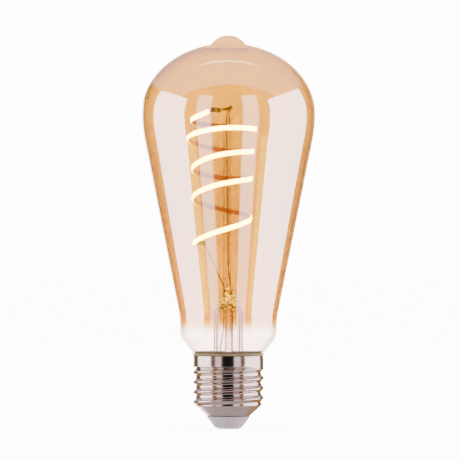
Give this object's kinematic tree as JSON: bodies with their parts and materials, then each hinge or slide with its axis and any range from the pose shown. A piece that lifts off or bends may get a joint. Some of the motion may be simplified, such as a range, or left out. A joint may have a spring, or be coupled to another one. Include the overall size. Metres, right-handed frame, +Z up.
{
  "type": "smart light bulb",
  "caption": "Pear-tapered amber glass filament bulb with a spiral flexible filament, a glass stem, a screw cap and a radio driver hidden in the cap.",
  "frame": {"origin": "middle of the flat underside of the centre contact", "axes": "+Z up the bulb from the cap to the crown, -Y towards the viewer, with the filament's top end at the front left"},
  "size_m": [0.064, 0.064, 0.145],
  "materials": {
    "amber_glass": "blown soda glass with a clear amber coating inside, plain at the neck",
    "clear_glass": "clear lead-free stem glass",
    "lead_metal": "drawn nickel-iron wire",
    "seal_copper": "copper-clad sealing wire, oxidised red where the glass wets it",
    "feed_copper": "bare copper wire, dulled",
    "phosphor_silicone": "silicone filled with phosphor, lit",
    "strip_film": "flexible white circuit film",
    "chip_crystal": "bare light emitting chips",
    "terminal_steel": "thin stamped steel with a welded spot",
    "capping_cement": "baked resin and marble-flour cement, matt",
    "nickel_plate": "bright nickel plate on thin rolled sheet",
    "white_plastic": "moulded heat-resistant plastic, satin",
    "tinned_brass": "tinned brass, pressed and riveted",
    "sleeve_plastic": "moulded flame-retardant plastic",
    "board_laminate": "glass-fibre laminate with green solder mask",
    "black_epoxy": "moulded epoxy package",
    "capacitor_can": "aluminium can in a printed-film sleeve",
    "resistor_body": "lacquered ceramic body",
    "ferrite": "sintered ferrite, matt",
    "winding_copper": "enamelled copper wire",
    "radio_laminate": "thin laminate with blue solder mask",
    "shield_steel": "tinned steel can",
    "antenna_foil": "gold flashed copper foil",
    "live_insulation": "insulated wire",
    "neutral_insulation": "insulated wire"
  },
  "bodies": {
    "root": {"glass_envelope": "amber_glass", "stem_flare": "clear_glass", "exhaust_tube": "clear_glass", "centre_rod": "clear_glass", "support_hook": "lead_metal", "long_lead": "lead_metal", "short_lead": "lead_metal", "seal_wire_left": "seal_copper", "seal_wire_right": "seal_copper", "feed_wire_left": "feed_copper", "feed_wire_right": "feed_copper", "filament_coating": "phosphor_silicone", "filament_strip": "strip_film", "led_chips": "chip_crystal", "top_terminal": "terminal_steel", "bottom_terminal": "terminal_steel", "cement_ring": "capping_cement", "screw_shell": "nickel_plate", "insulator": "white_plastic", "centre_contact": "tinned_brass", "board_sleeve": "sleeve_plastic", "driver_board": "board_laminate", "bridge_rectifier": "black_epoxy", "driver_chip": "black_epoxy", "bulk_capacitor": "capacitor_can", "fusible_resistor": "resistor_body", "inductor_core": "ferrite", "inductor_winding": "winding_copper", "radio_board": "radio_laminate", "radio_shield": "shield_steel", "antenna": "antenna_foil", "live_wire": "live_insulation", "neutral_wire": "neutral_insulation"}
  },
  "joints": []
}
